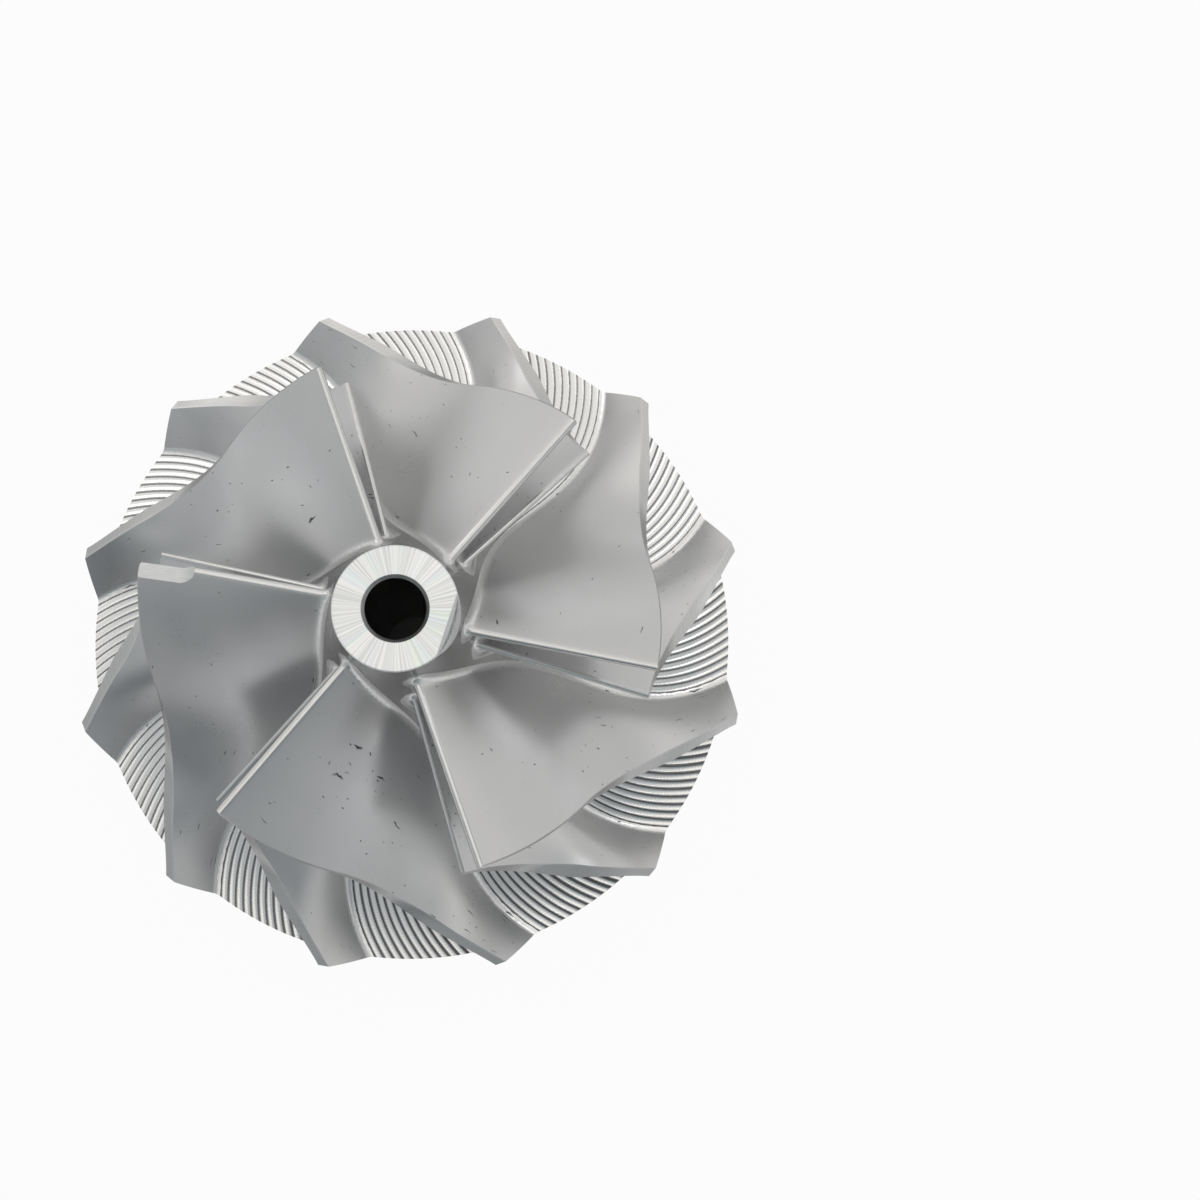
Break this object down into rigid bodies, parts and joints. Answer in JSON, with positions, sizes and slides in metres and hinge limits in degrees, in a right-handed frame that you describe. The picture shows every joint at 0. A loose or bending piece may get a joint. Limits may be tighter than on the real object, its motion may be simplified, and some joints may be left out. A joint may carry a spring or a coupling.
{
  "type": "compressor wheel",
  "caption": "One-piece centrifugal compressor wheel with back-swept full and splitter blades, a through bore, a turned nose face and a flat boss on its tapered back.",
  "frame": {"origin": "centre of the seat face of the boss under the wheel, on the axis of the bore", "axes": "+Z along the bore, from the back of the wheel to its nose"},
  "size_m": [0.0934, 0.0934, 0.0442],
  "materials": {
    "milled_aluminium": "milled on five axes, with turned nose, rim and back"
  },
  "bodies": {
    "root": {"compressor_wheel": "milled_aluminium"}
  },
  "joints": []
}
